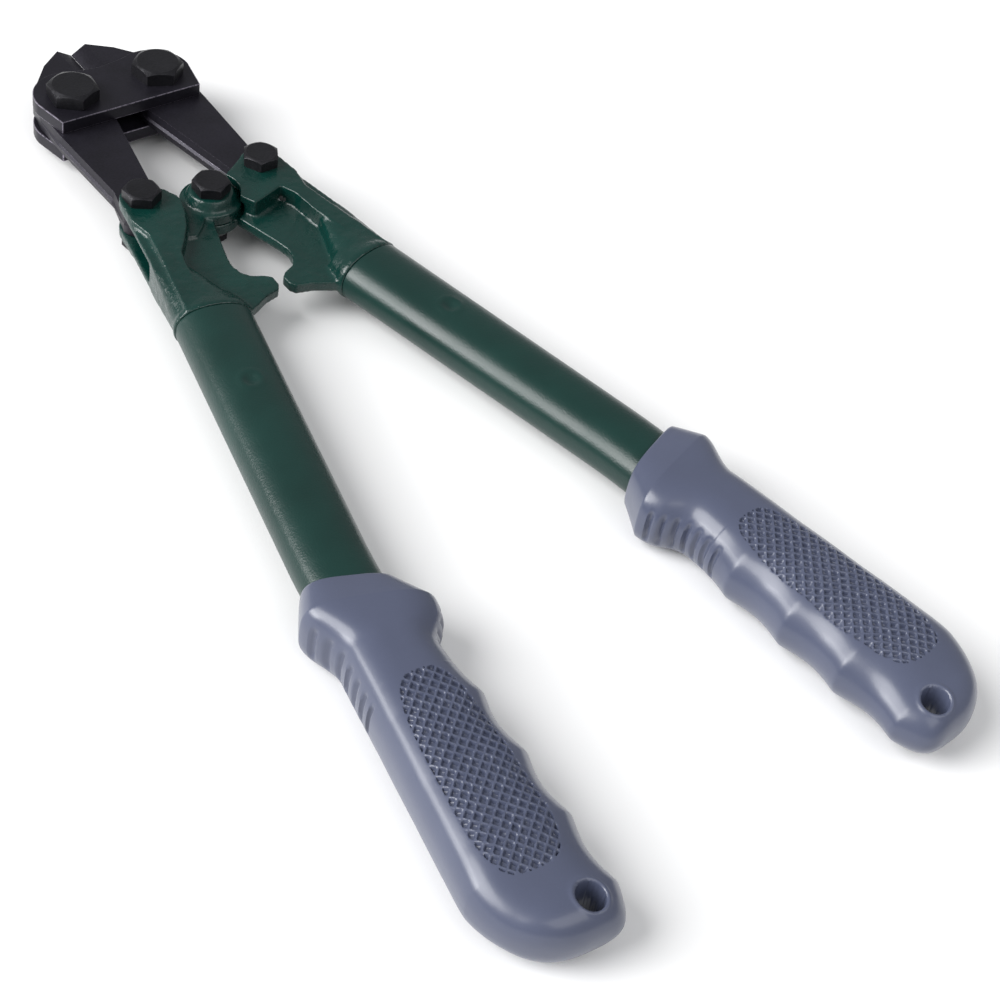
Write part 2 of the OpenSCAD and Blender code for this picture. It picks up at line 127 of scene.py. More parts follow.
class GripProps(bpy.types.PropertyGroup):
    """Sizes and colours of the moulded grips"""
    collar_to_bend: FloatProperty(name="Collar start", default=15 * MM, unit="LENGTH",
                                  description="Distance of the collar behind the start of the bend")
    past_hole: FloatProperty(name="End past hole", default=7 * MM, unit="LENGTH",
                             description="Length of the grip behind the middle of the hanging hole")
    thick: FloatProperty(name="Palm thickness", default=21.6 * MM, unit="LENGTH",
                         description="Thickness of the grip over the palm")
    end_thick: FloatProperty(name="End thickness", default=17 * MM, unit="LENGTH",
                             description="Thickness of the grip at the hanging hole")
    collar_w: FloatProperty(name="Collar width", default=35 * MM, unit="LENGTH",
                            description="Width of the flared collar")
    finger_start: FloatProperty(name="Finger start", default=24 * MM, unit="LENGTH",
                                description="Distance of the first finger groove behind the collar's front")
    finger_pitch: FloatProperty(name="Finger pitch", default=19.4 * MM, unit="LENGTH",
                                description="Pitch of the finger grooves")
    finger_depth: FloatProperty(name="Finger depth", default=1.9 * MM, unit="LENGTH",
                                description="Depth of the finger grooves")
    rib_count: IntProperty(name="Rib grooves", default=7, min=0,
                           description="Number of grooves on each side")
    rib_start: FloatProperty(name="Rib start", default=13 * MM, unit="LENGTH",
                             description="Distance of the first rib groove behind the collar's front")
    rib_pitch: FloatProperty(name="Rib pitch", default=3.9 * MM, unit="LENGTH",
                             description="Pitch of the rib grooves")
    rib_depth: FloatProperty(name="Rib depth", default=1.05 * MM, unit="LENGTH",
                             description="Depth of the rib grooves")
    pad_start: FloatProperty(name="Pad start", default=34.4 * MM, unit="LENGTH",
                             description="Distance of the knurled pad behind the collar's front")
    pad_len: FloatProperty(name="Pad length", default=59.3 * MM, unit="LENGTH",
                           description="Length of the knurled pad")
    pad_w: FloatProperty(name="Pad width", default=20 * MM, unit="LENGTH",
                         description="Width of the knurled pad at its middle")
    pit_pitch: FloatProperty(name="Pit pitch", default=3.2 * MM, unit="LENGTH",
                             description="Distance between the pits along the pad")
    pit_depth: FloatProperty(name="Pit depth", default=0.95 * MM, unit="LENGTH",
                             description="Depth of the pits of the pad")
    vinyl: FloatVectorProperty(name="Grip colour", subtype="COLOR", default=(0.070, 0.081, 0.130),
                               description="Colour of the moulded grips")


class StageProps(bpy.types.PropertyGroup):
    """The floor, the lights and the camera"""
    floor: FloatVectorProperty(name="Floor colour", subtype="COLOR", default=(0.9, 0.9, 0.9),
                               description="Colour of the floor")
    key: FloatProperty(name="Key light", default=2.9, min=0, description="Strength of the main light")
    fill: FloatProperty(name="Fill light", default=4.5, min=0, unit="POWER",
                        description="Power of the softbox in front")
    side: FloatProperty(name="Side light", default=7.0, min=0, unit="POWER",
                        description="Power of the low softbox")
    ambient: FloatProperty(name="Ambient light", default=0.38, min=0,
                           description="Strength of the pale surroundings")
    lens: FloatProperty(name="Lens", default=74.6, min=1, unit="CAMERA",
                        description="Focal length of the camera")


# ---- shader maths ----
class Value:
    """A socket of a material's node tree that can be used in sums."""

    def __init__(self, finish, socket):
        self.finish = finish
        self.socket = socket

    def math(self, operation, *others):
        return self.finish.node("Math", {"operation": operation}, self, *others)

    def __add__(self, other):
        return self.math("ADD", other)

    __radd__ = __add__

    def __rsub__(self, other):
        return self.finish.node("Math", {"operation": "SUBTRACT"}, other, self)

    def __mul__(self, other):
        return self.math("MULTIPLY", other)

    __rmul__ = __mul__


class Finish:
    """A procedural material with one Principled shader."""

    def __init__(self, name, **constants):
        self.material = bpy.data.materials.new(name)
        self.material.use_nodes = True
        self.tree = self.material.node_tree
        self.tree.nodes.clear()
        output = self.tree.nodes.new("ShaderNodeOutputMaterial")
        self.shader = self.tree.nodes.new("ShaderNodeBsdfPrincipled")
        self.tree.links.new(self.shader.outputs[0], output.inputs[0])
        for socket, value in constants.items():
            self.set(socket.replace("_", " "), value)
        self.place = self.node("TexCoord", {}, out="Object")

    def set(self, socket, value):
        """Links or sets one socket of the shader."""
        self.fill(self.shader.inputs[socket], value)

    def fill(self, socket, value):
        if isinstance(value, Value):
            self.tree.links.new(value.socket, socket)
        elif hasattr(socket.default_value, "__len__") and len(socket.default_value) == 4 and len(value) == 3:
            socket.default_value = (*value, 1)
        else:
            socket.default_value = value

    def node(self, kind, settings, *values, out=0, **named):
        """Adds a node of a type, with its settings first and then the values or links of its sockets."""
        node = self.tree.nodes.new("ShaderNode" + kind)
        for key, setting in settings.items():
            if key == "stops":
                self.stops(node.color_ramp, setting)
            else:
                setattr(node, key, setting)
        for socket, value in zip(node.inputs, values):
            self.fill(socket, value)
        for name, value in named.items():
            self.fill(node.inputs[name.replace("_", " ")], value)
        return Value(self, node.outputs[out])

    def stops(self, ramp, stops):
        while len(ramp.elements) < len(stops):
            ramp.elements.new(0.5)
        for element, (position, grey) in zip(ramp.elements, stops):
            element.position = position
            element.color = (grey, grey, grey, 1)

    def noise(self, size, detail=2.0, roughness=0.5, place=None):
        """Noise whose features measure about the given size, in metres; its values run from 0 to 1."""
        return self.node("TexNoise", {}, Vector=place or self.place, Scale=1 / size, Detail=detail,
                         Roughness=roughness, out="Fac")

    def ramp(self, value, low, high):
        """0 below low and 1 above high."""
        return self.node("ValToRGB", {"stops": [(low, 0), (high, 1)]}, value)

    def mix(self, factor, first, second):
        """A colour between two colours."""
        node = self.tree.nodes.new("ShaderNodeMix")
        node.data_type = "RGBA"
        for index, value in ((0, factor), (6, first), (7, second)):
            self.fill(node.inputs[index], value)
        return Value(self, node.outputs[2])

    def bump(self, height, distance, strength=1.0, under=None):
        """A bump of the given height in metres, over another one if there is one."""
        values = {"Height": height, "Distance": distance, "Strength": strength}
        if under is not None:
            values["Normal"] = under
        return self.node("Bump", {}, out="Normal", **values)


def times(colour, factor):
    """A colour made lighter or darker."""
    return [min(1.0, c * factor) for c in colour]


def oxide_finish(name, colour, grain, polish):
    """Black oxide: satin, faintly blotched, with fine grain."""
    finish = Finish(name, Metallic=0.55, IOR=1.5)
    blotch = finish.ramp(finish.noise(9 * MM, 4, 0.6), 0.3, 0.75)
    speck = finish.ramp(finish.noise(0.7 * MM, 2), 0.35, 0.75)
    base = finish.mix(blotch, times(colour, 0.8), times(colour, 1.35))
    finish.set("Base Color", finish.mix(speck * 0.35, base, times(colour, 2.2)))
    finish.set("Roughness", polish + 0.1 * blotch + 0.06 * speck)
    finish.set("Normal", finish.bump(finish.noise(0.55 * MM, 3, 0.6), grain,
                                     under=finish.bump(finish.noise(5 * MM, 2), 1.2 * grain)))
    return finish.material


def wear_and_highlight_finish(name, colour, bare):
    """A rubbed edge: bare steel shows through the oxide in places. On the jaws' parting ridges the same bright
    steel is a painted highlight.
    """
    finish = Finish(name, IOR=1.5)
    rubbed = finish.ramp(finish.noise(1.1 * MM, 4, 0.7), 0.36, 0.6)
    finish.set("Base Color", finish.mix(rubbed, times(colour, 2.2), bare))
    finish.set("Metallic", 0.55 + 0.4 * rubbed)
    finish.set("Roughness", 0.42 - 0.12 * rubbed)
    finish.set("Normal", finish.bump(finish.noise(0.5 * MM, 2), 0.02 * MM))
    return finish.material


def casting_finish(name, paint):
    """Glossy paint over a sand casting: it pools in the low places and thins on the high ones."""
    finish = Finish(name, Metallic=0.0, IOR=1.5, Specular_IOR_Level=0.5)
    lumps = finish.noise(2.6 * MM, 3, 0.55)
    sand = finish.noise(0.55 * MM, 3, 0.6)
    shade = finish.ramp(finish.noise(14 * MM, 3), 0.3, 0.7)
    base = finish.mix(shade, times(paint, 0.85), times(paint, 1.2))
    finish.set("Base Color", finish.mix(finish.ramp(sand, 0.6, 0.8) * 0.3, base, times(paint, 2.0)))
    finish.set("Roughness", 0.2 + 0.1 * finish.ramp(lumps, 0.35, 0.7))
    finish.set("Normal", finish.bump(sand, 0.06 * MM, under=finish.bump(lumps, 0.3 * MM)))
    return finish.material


def tube_finish(name, paint):
    """Paint on drawn tube: smooth, with fine orange peel."""
    finish = Finish(name, Metallic=0.0, IOR=1.5)
    peel = finish.noise(0.5 * MM, 2, 0.5)
    shade = finish.ramp(finish.noise(18 * MM, 3), 0.3, 0.7)
    finish.set("Base Color", finish.mix(shade, times(paint, 0.85), times(paint, 1.1)))
    finish.set("Roughness", 0.3 + 0.06 * shade)
    finish.set("Normal", finish.bump(peel, 0.06 * MM, under=finish.bump(finish.noise(6 * MM, 2), 0.1 * MM)))
    return finish.material


def vinyl_finish(name, vinyl):
    """Moulded vinyl: even colour, soft gloss and a trace of grain."""
    finish = Finish(name, Metallic=0.0, IOR=1.47, Coat_Roughness=0.2)
    cloud = finish.ramp(finish.noise(22 * MM, 3), 0.25, 0.75)
    speck = finish.noise(0.5 * MM, 2)
    base = finish.mix(cloud, times(vinyl, 0.94), times(vinyl, 1.05))
    finish.set("Base Color", finish.mix(finish.ramp(speck, 0.55, 0.8) * 0.2, base, times(vinyl, 1.25)))
    finish.set("Roughness", 0.3 + 0.06 * cloud)
    finish.set("Coat Weight", 0.3 + 0.1 * cloud)
    wave = finish.bump(finish.noise(7 * MM, 2), 0.08 * MM)
    finish.set("Normal", finish.bump(speck, 0.012 * MM, under=wave))
    return finish.material


def floor_finish(name, colour):
    """A pale matt floor."""
    finish = Finish(name, Metallic=0.0)
    finish.set("Base Color", finish.mix(finish.noise(0.3, 2), times(colour, 0.985), colour))
    finish.set("Roughness", 0.8 + 0.1 * finish.noise(0.05, 2))
    return finish.material


FINISHES = {}


def finish_of(name):
    """A material by name, made the first time it is asked for."""
    scene = bpy.context.scene
    steel, handle = scene.cutter_steel, scene.cutter_handle
    grip, stage = scene.cutter_grip, scene.cutter_stage
    makers = {
        "jaw_oxide": lambda: oxide_finish("jaw_oxide", steel.oxide, 0.035 * MM, 0.36),
        "plate_oxide": lambda: oxide_finish("plate_oxide", steel.oxide, 0.02 * MM, 0.34),
        "bolt_oxide": lambda: oxide_finish("bolt_oxide", steel.bolt_oxide, 0.06 * MM, 0.32),
        # This rubbed-steel finish also paints the highlight line on the jaws' parting ridges
        "worn_edge_and_ridge_highlight": lambda: wear_and_highlight_finish("worn_edge_and_ridge_highlight", steel.oxide, steel.bare),
        "worn_bolt": lambda: wear_and_highlight_finish("worn_bolt", steel.bolt_oxide, times(steel.bare, 0.4)),
        "casting_paint": lambda: casting_finish("casting_paint", handle.paint),
        "tube_paint": lambda: tube_finish("tube_paint", handle.paint),
        "grip_vinyl": lambda: vinyl_finish("grip_vinyl", grip.vinyl),
        "pale_floor": lambda: floor_finish("pale_floor", stage.floor),
    }
    if name not in FINISHES:
        FINISHES[name] = makers[name]()
    return FINISHES[name]


# ---- modelling ----
def fresh():
    """Leaves object mode with nothing selected."""
    if bpy.context.object is not None and bpy.context.object.mode != "OBJECT":
        bpy.ops.object.mode_set(mode="OBJECT")
    bpy.ops.object.select_all(action="DESELECT")


def activate(piece):
    fresh()
    piece.select_set(True)
    bpy.context.view_layer.objects.active = piece
    return piece


def added(name):
    """Names the object that an operator has just added."""
    piece = bpy.context.object
    piece.name = name
    piece.data.name = name
    return piece


def apply_modifier(piece, kind, **settings):
    activate(piece)
    modifier = piece.modifiers.new(kind.lower(), kind)
    for key, value in settings.items():
        setattr(modifier, key, value)
    bpy.ops.object.modifier_apply(modifier=modifier.name)


def edit(piece, select="SELECT"):
    activate(piece)
    bpy.ops.object.mode_set(mode="EDIT")
    bpy.ops.mesh.select_all(action=select)


def leave_edit():
    bpy.ops.object.mode_set(mode="OBJECT")


def face_outwards(piece, merge=1e-7):
    edit(piece)
    bpy.ops.mesh.remove_doubles(threshold=merge)
    bpy.ops.mesh.normals_make_consistent(inside=False)
    leave_edit()


def cad_copy(node, name):
    """A merged copy of a CAD node's mesh, with its flat faces joined up."""
    fresh()
    piece = bpy.data.objects.new(name, frame["nodes"][node].data.copy())
    piece.data.materials.clear()
    bpy.context.scene.collection.objects.link(piece)
    edit(piece)
    bpy.ops.mesh.customdata_custom_splitnormals_clear()
    bpy.ops.mesh.remove_doubles(threshold=1e-6)
    bpy.ops.mesh.dissolve_limited(angle_limit=math.radians(0.8))
    leave_edit()
    return piece


def coordinates(piece):
    co = np.empty(len(piece.data.vertices) * 3)
    piece.data.vertices.foreach_get("co", co)
    return co.reshape(-1, 3)


def set_coordinates(piece, co):
    piece.data.vertices.foreach_set("co", np.ascontiguousarray(co, np.float32).ravel())
    piece.data.update()


def rolled_skin(name, rows):
    """A closed skin through rows of points: the first and last rows are points, or the same row."""
    rows = np.asarray(rows)
    count, around = rows.shape[0], rows.shape[1]
    fresh()
    bpy.ops.mesh.primitive_grid_add(x_subdivisions=around, y_subdivisions=count - 1, size=2)
    piece = added(name)
    co = coordinates(piece)
    column = np.rint((co[:, 0] + 1) / 2 * around).astype(int) % around
    row = np.rint((co[:, 1] + 1) / 2 * (count - 1)).astype(int)
    set_coordinates(piece, rows[row, column])
    face_outwards(piece)
    return piece


def turned_over(piece, name):
    """A copy of a right-hand piece, turned over to the left side."""
    copy = piece.copy()
    copy.data = piece.data.copy()
    copy.name = name
    copy.data.name = name
    bpy.context.scene.collection.objects.link(copy)
    lift = Matrix.Translation((0, 0, MID_Z))
    copy.data.transform(lift @ Matrix.Rotation(math.pi, 4, "Y") @ lift.inverted())
    return copy


def shade(piece, degrees=32):
    activate(piece)
    bpy.ops.object.shade_smooth_by_angle(angle=math.radians(degrees))


def paint(piece, *finishes):
    piece.data.materials.clear()
    for name in finishes:
        piece.data.materials.append(finish_of(name))


def hand_over(piece, node):
    """The piece stands for a CAD node and rides on its body."""
    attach(piece, BODY_OF[node])
    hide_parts(node)


def broken_edges(piece, width, degrees=28, segments=2):
    """Rounds the sharp edges; the new faces take the second material."""
    apply_modifier(piece, "BEVEL", width=width, segments=segments, limit_method="ANGLE",
                   angle_limit=math.radians(degrees), material=1, use_clamp_overlap=True,
                   miter_outer="MITER_ARC")


def level_normals(piece):
    """Keeps the broad flat faces evenly lit right up to their rounded edges."""
    apply_modifier(piece, "WEIGHTED_NORMAL", mode="FACE_AREA", weight=100, keep_sharp=True)


# ---- jaws and plates ----
def push_side(piece, low_y, high_y, z, amount):
    """Moves the side points at one height outwards, between two places along the tool."""
    edit(piece, "DESELECT")
    bpy.ops.object.mode_set(mode="OBJECT")
    for vertex in piece.data.vertices:
        vertex.select = low_y < vertex.co.y < high_y and abs(vertex.co.z - z) < 0.02 * MM
    bpy.ops.object.mode_set(mode="EDIT")
    bpy.ops.transform.shrink_fatten(value=amount)
    leave_edit()


def cut_across(piece, place, normal):
    edit(piece)
    bpy.ops.mesh.bisect(plane_co=place, plane_no=normal)
    leave_edit()


def make_jaw(node):
    steel = bpy.context.scene.cutter_steel
    piece = cad_copy(node, node + "_forging")
    clear_of_plate, clear_of_fork, reach = 0.3 * MM, 9 * MM, 0.1 * MM
    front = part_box("top_plate")[0].y - clear_of_plate
    back = TAIL_PIN.y + clear_of_fork
    for y in (front, back):
        cut_across(piece, (0, y, 0), (0, 1, 0))
    ridge = 0.25 * MM
    for height in (MID_Z, MID_Z - ridge, MID_Z + ridge):
        cut_across(piece, (0, 0, height), (0, 0, 1))
    low, high = back - reach, front + reach
    push_side(piece, low, high, MID_Z, steel.draft + steel.flash)
    for height in (MID_Z - ridge, MID_Z + ridge):
        push_side(piece, low, high, height, steel.draft)
    paint(piece, "jaw_oxide", "worn_edge_and_ridge_highlight")
    # The ridge's faces take the bright rubbed-steel finish, which paints a highlight line along the parting ridge
    for face in piece.data.polygons:
        if low < face.center.y < high and abs(face.center.z - MID_Z) < ridge and abs(face.normal.z) < 0.9:
            face.material_index = 1
    broken_edges(piece, steel.edge_round, degrees=33)
    shade(piece)
    level_normals(piece)
    hand_over(piece, node)


def make_plate(node):
    steel = bpy.context.scene.cutter_steel
    piece = cad_copy(node, node + "_blank")
    paint(piece, "plate_oxide", "worn_edge_and_ridge_highlight")
    broken_edges(piece, steel.edge_round)
    kept_black = JAW_PIN.x + 6 * MM
    for face in piece.data.polygons:
        if face.center.y > JAW_PIN.y and abs(face.center.x) < kept_black:
            face.material_index = 0
    shade(piece)
    level_normals(piece)
    hand_over(piece, node)


# ---- bolts and nuts ----
def intersect(piece, other):
    apply_modifier(piece, "BOOLEAN", operation="INTERSECT", solver="EXACT", object=other)
    bpy.data.objects.remove(other)


def join(first, *others):
    activate(first)
    for other in others:
        other.select_set(True)
    bpy.ops.object.join()
    return first


def corner_reach(flats):
    """The distance from a hexagon's middle to its corners."""
    return flats / 2 / math.cos(math.pi / 6)


def chamfer_body(centre, radius, low, high, chamfer_low, chamfer_high):
    """A round body whose rims are coned off, for cutting a hexagon's corners."""
    fresh()
    bpy.ops.mesh.primitive_cylinder_add(vertices=96, radius=radius, depth=high - low,
                                        location=(centre.x, centre.y, (low + high) / 2))
    piece = added("chamfer_body")
    bpy.ops.object.transform_apply(location=True)
    slope = math.tan(math.radians(bpy.context.scene.cutter_steel.chamfer))
    for rim, sign, inset in ((high, -1, chamfer_high), (low, 1, chamfer_low)):
        if inset:
            edit(piece, "DESELECT")
            bpy.ops.mesh.select_mode(type="FACE")
            leave_edit()
            for face in piece.data.polygons:
                face.select = abs(face.center.z - rim) < 1e-6 and abs(face.normal.z) > 0.9
            bpy.ops.object.mode_set(mode="EDIT")
            bpy.ops.mesh.inset(thickness=inset, use_even_offset=True)
            leave_edit()
            for vertex in piece.data.vertices:
                reach = math.hypot(vertex.co.x - centre.x, vertex.co.y - centre.y)
                if abs(vertex.co.z - rim) < 1e-6 and reach > radius - 0.5 * inset:
                    vertex.co.z = rim + sign * inset * slope
    return piece


def hexagon(centre, flats, turn, low, high, name):
    fresh()
    bpy.ops.mesh.primitive_cylinder_add(vertices=6, radius=corner_reach(flats), depth=high - low,
                                        location=(centre.x, centre.y, (low + high) / 2),
                                        rotation=(0, 0, turn + math.pi / 2))
    piece = added(name)
    bpy.ops.object.transform_apply(location=True, rotation=True)
    return piece


def shank(centre, radius, low, high, thread_to, name):
    """A bolt's shank with a chamfered, threaded end."""
    pitch, depth, turns = 1.0 * MM, 0.32 * MM, 48
    thread_from = low + 0.6 * MM
    share = np.arange(turns) / turns

    def ring(reach, height):
        turn = 2 * math.pi * share
        return np.column_stack((centre.x + reach * np.cos(turn), centre.y + reach * np.sin(turn),
                                np.full(turns, height)))

    rows = [ring(0, low), ring(radius - 0.9 * MM, low), ring(radius - depth, low + 0.55 * MM)]
    for step in range(int((thread_to - thread_from) / pitch * 4)):
        flank = np.abs((step / 4 + share) % 1 * 2 - 1)
        rows.append(ring(radius - depth * flank, thread_from + step * pitch / 4))
    rows += [ring(radius, thread_to), ring(radius, high), ring(0, high)]
    return rolled_skin(name, rows)


def hexagon_turn(node, centre):
    """The angle at which a CAD node's hexagon stands, from its outermost points."""
    co = coordinates(frame["nodes"][node])
    reach = np.hypot(co[:, 0] - centre.x, co[:, 1] - centre.y)
    corner = co[int(reach.argmax())]
    return math.atan2(corner[1] - centre.y, corner[0] - centre.x)


def make_bolt(node, centre, flats, radius, nut_node, slot):
    low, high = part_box(node)
    seat = seat_of(node, radius, centre)
    turn = hexagon_turn(node, centre)
    corner = corner_reach(flats)
    piece = hexagon(centre, flats, turn - math.pi / 2, seat, high.z, node + "_forged")
    inside_head, top_circle = 0.25 * MM, 0.9 * flats / 2
    under_chamfer = 0.5 * (corner - flats / 2)
    body = chamfer_body(centre, corner, seat, high.z, under_chamfer, corner - top_circle)
    intersect(piece, body)
    paint(piece, "bolt_oxide", "worn_bolt")
    broken_edges(piece, 0.16 * MM, degrees=14, segments=2)
    nut_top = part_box(nut_node)[1].z
    stem = shank(centre, radius - 0.03 * MM, low.z, seat + inside_head, nut_top, node + "_stem")
    paint(stem, "bolt_oxide", "worn_bolt")
    join(piece, stem)
    shade(piece, 30)
    level_normals(piece)
    hand_over(piece, node)


def seat_of(node, radius, centre):
    """The height of the underside of a bolt's head."""
    co = coordinates(frame["nodes"][node])
    reach = np.hypot(co[:, 0] - centre.x, co[:, 1] - centre.y)
    return float(co[reach > radius * 1.2, 2].min())


def make_nut(node, centre, flats, radius, slot):
    low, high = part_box(node)
    turn = hexagon_turn(node, centre)
    corner = corner_reach(flats)
    piece = hexagon(centre, flats, turn - math.pi / 2, low.z, high.z, node + "_forged")
    under_circle, top_chamfer = 0.92 * flats / 2, 0.5 * (corner - flats / 2)
    body = chamfer_body(centre, corner, low.z, high.z, corner - under_circle, top_chamfer)
    intersect(piece, body)
    fresh()
    bpy.ops.mesh.primitive_cylinder_add(vertices=64, radius=radius, depth=4 * (high.z - low.z),
                                        location=(centre.x, centre.y, (low.z + high.z) / 2))
    drill = added("drill")
    bpy.ops.object.transform_apply(location=True)
    apply_modifier(piece, "BOOLEAN", operation="DIFFERENCE", solver="EXACT", object=drill)
    bpy.data.objects.remove(drill)
    paint(piece, "bolt_oxide", "bolt_oxide")
    broken_edges(piece, 0.25 * MM, degrees=14, segments=2)
    shade(piece, 30)
    hand_over(piece, node)


# ---- handle heads ----
def neighbours_mean(piece, values):
    """The mean of a value over each point's neighbours."""
    edges = np.empty(len(piece.data.edges) * 2, int)
    piece.data.edges.foreach_get("vertices", edges)
    edges = edges.reshape(-1, 2)
    total = np.zeros_like(values)
    count = np.zeros(len(values))
    for a, b in ((0, 1), (1, 0)):
        np.add.at(total, edges[:, a], values[edges[:, b]])
        np.add.at(count, edges[:, a], 1)
    return total / (count if values.ndim == 1 else count[:, None])


def normals(piece):
    out = np.empty(len(piece.data.vertices) * 3)
    piece.data.vertex_normals.foreach_get("vector", out)
    return out.reshape(-1, 3)


def smooth(piece, times_over, share=0.5, group=""):
    apply_modifier(piece, "SMOOTH", factor=share, iterations=times_over, vertex_group=group)


def hollow_group(piece, name, spread):
    """A vertex group that is full in the hollow corners and fades away from them."""
    voxel = bpy.context.scene.cutter_handle.voxel
    co = coordinates(piece)
    hollow = np.einsum("ij,ij->i", neighbours_mean(piece, co) - co, normals(piece)) / voxel
    least, span, faint = 0.03, 0.05, 0.02
    weight = np.clip((hollow - least) / span, 0, 1)
    for _ in range(spread):
        weight = np.maximum(weight, neighbours_mean(piece, weight))
    group = piece.vertex_groups.new(name=name)
    for index in np.nonzero(weight > faint)[0]:
        group.add([int(index)], float(weight[index]), "REPLACE")


def make_heads():
    handle = bpy.context.scene.cutter_handle
    piece = cad_copy("handle_head_right", "handle_head_right_casting")
    apply_modifier(piece, "REMESH", mode="VOXEL", voxel_size=handle.voxel, adaptivity=0)
    skin_passes, hollow_passes, hollow_spread = 4, 26, 8
    smooth(piece, skin_passes)
    hollow_group(piece, "hollows", hollow_spread)
    smooth(piece, hollow_passes, group="hollows")
    smooth(piece, skin_passes)
    co = coordinates(piece)
    outward = normals(piece)
    broad, fine, height = 4.5 * MM, 1.9 * MM, 0.09 * MM
    lumps = [noise.noise(Vector(p) / broad) + 0.5 * noise.noise(Vector(p) / fine) for p in co]
    set_coordinates(piece, co + outward * (np.array(lumps) * height)[:, None])
    left = turned_over(piece, "handle_head_left_casting")
    for casting, node in ((piece, "handle_head_right"), (left, "handle_head_left")):
        paint(casting, "casting_paint")
        shade(casting, 60)
        hand_over(casting, node)


# ---- the handle's line ----
class HandleLine:
    """The middle line of the right handle: straight, one bend, then straight inside the grip."""

    def __init__(self):
        handle = bpy.context.scene.cutter_handle
        self.handle = handle
        self.shoulder = np.array((handle.shoulder_x, CENTRE_PIN.y - handle.shoulder_back))
        straight = (self.shoulder[1] - HOLE.y - handle.bend_to_hole) / math.cos(handle.splay)
        self.straight = straight
        self.bend = (handle.splay - handle.grip_angle) * handle.bend_r
        self.start = self.shoulder + straight * self.run(handle.splay)
        self.middle = self.start - handle.bend_r * self.side(handle.splay)
        self.end = self.middle + handle.bend_r * self.side(handle.grip_angle)
        self.tube_len = straight + handle.tube_past_bend

    def run(self, angle):
        return np.array((math.sin(angle), -math.cos(angle)))

    def side(self, angle):
        return np.array((math.cos(angle), math.sin(angle)))

    def angle(self, s):
        """The handle's angle at a distance s behind the shoulder."""
        turned = min(max(s - self.straight, 0), self.bend) / self.handle.bend_r
        return self.handle.splay - turned

    def point(self, s):
        if s < self.straight:
            return self.shoulder + s * self.run(self.handle.splay)
        if s > self.straight + self.bend:
            return self.end + (s - self.straight - self.bend) * self.run(self.handle.grip_angle)
        return self.middle + self.handle.bend_r * self.side(self.angle(s))

    def tube_width(self, s):
        return self.handle.tube_w + (self.handle.tube_end_w - self.handle.tube_w) * s / self.tube_len

    def row(self, s, across, up, lean=0.0):
        """A row of points at s, from distances across the handle and heights above its middle."""
        centre, side = self.point(s), self.side(self.angle(s) + lean)
        return np.column_stack((centre[0] + across * side[0], centre[1] + across * side[1], MID_Z + up))


def blunt(value, power):
    return np.sign(value) * np.abs(value) ** (2 / power)


# ---- handle tubes ----
OVAL = 2.3


def make_tubes():
    line = HandleLine()
    handle = line.handle
    turn = 2 * math.pi * np.arange(96) / 96
    wide, thick = blunt(np.cos(turn), OVAL), blunt(np.sin(turn), OVAL)
    lip = 0.35 * MM
    stations = [(0, lip)] + [(lip * (1 - math.cos(a)), lip * (1 - math.sin(a))) for a in (0.5, 1.0, 1.57)]
    outer = stations + [(s, 0) for s in np.arange(1 * MM, line.tube_len, 1 * MM)] + [(line.tube_len, 0)]
    rows = []
    for s, inset in outer:
        across = wide * (line.tube_width(s) / 2 - inset)
        rows.append(line.row(s, across, thick * (handle.tube_t / 2 - inset)))
    for s in (line.tube_len, line.straight + line.bend, line.straight, 0):
        half = line.tube_width(s) / 2 - handle.tube_wall
        rows.append(line.row(s, wide * half, thick * (handle.tube_t / 2 - handle.tube_wall)))
    rows.append(rows[0])
    piece = rolled_skin("handle_tube_right_drawn", rows)
    stake(piece, line)
    left = turned_over(piece, "handle_tube_left_drawn")
    for tube, node in ((piece, "handle_tube_right"), (left, "handle_tube_left")):
        paint(tube, "tube_paint")
        shade(tube, 50)
        hand_over(tube, node)


def stake(piece, line):
    """Presses a round staking dimple into both faces of the tube."""
    handle = line.handle
    middle = line.point(handle.dimple_back)
    co = coordinates(piece)
    reach = np.hypot(co[:, 0] - middle[0], co[:, 1] - middle[1]) / handle.dimple_r
    height = co[:, 2] - MID_Z
    face_depth, sharpness = 0.7 * MM, 1.8
    lip, lip_at, lip_width = 0.3, 1.4, 0.35
    outside = np.abs(height) > handle.tube_t / 2 - face_depth
    dent = np.exp(-reach ** 2 * sharpness) - lip * np.exp(-((reach - lip_at) / lip_width) ** 2)
    co[:, 2] -= np.sign(height) * dent * handle.dimple_depth * outside
    set_coordinates(piece, co)


# ---- grips ----
def ease(value):
    clamped = np.clip(value, 0, 1)
    return clamped * clamped * (3 - 2 * clamped)


def mix(first, second, share):
    return first + (second - first) * min(max(share, 0), 1)


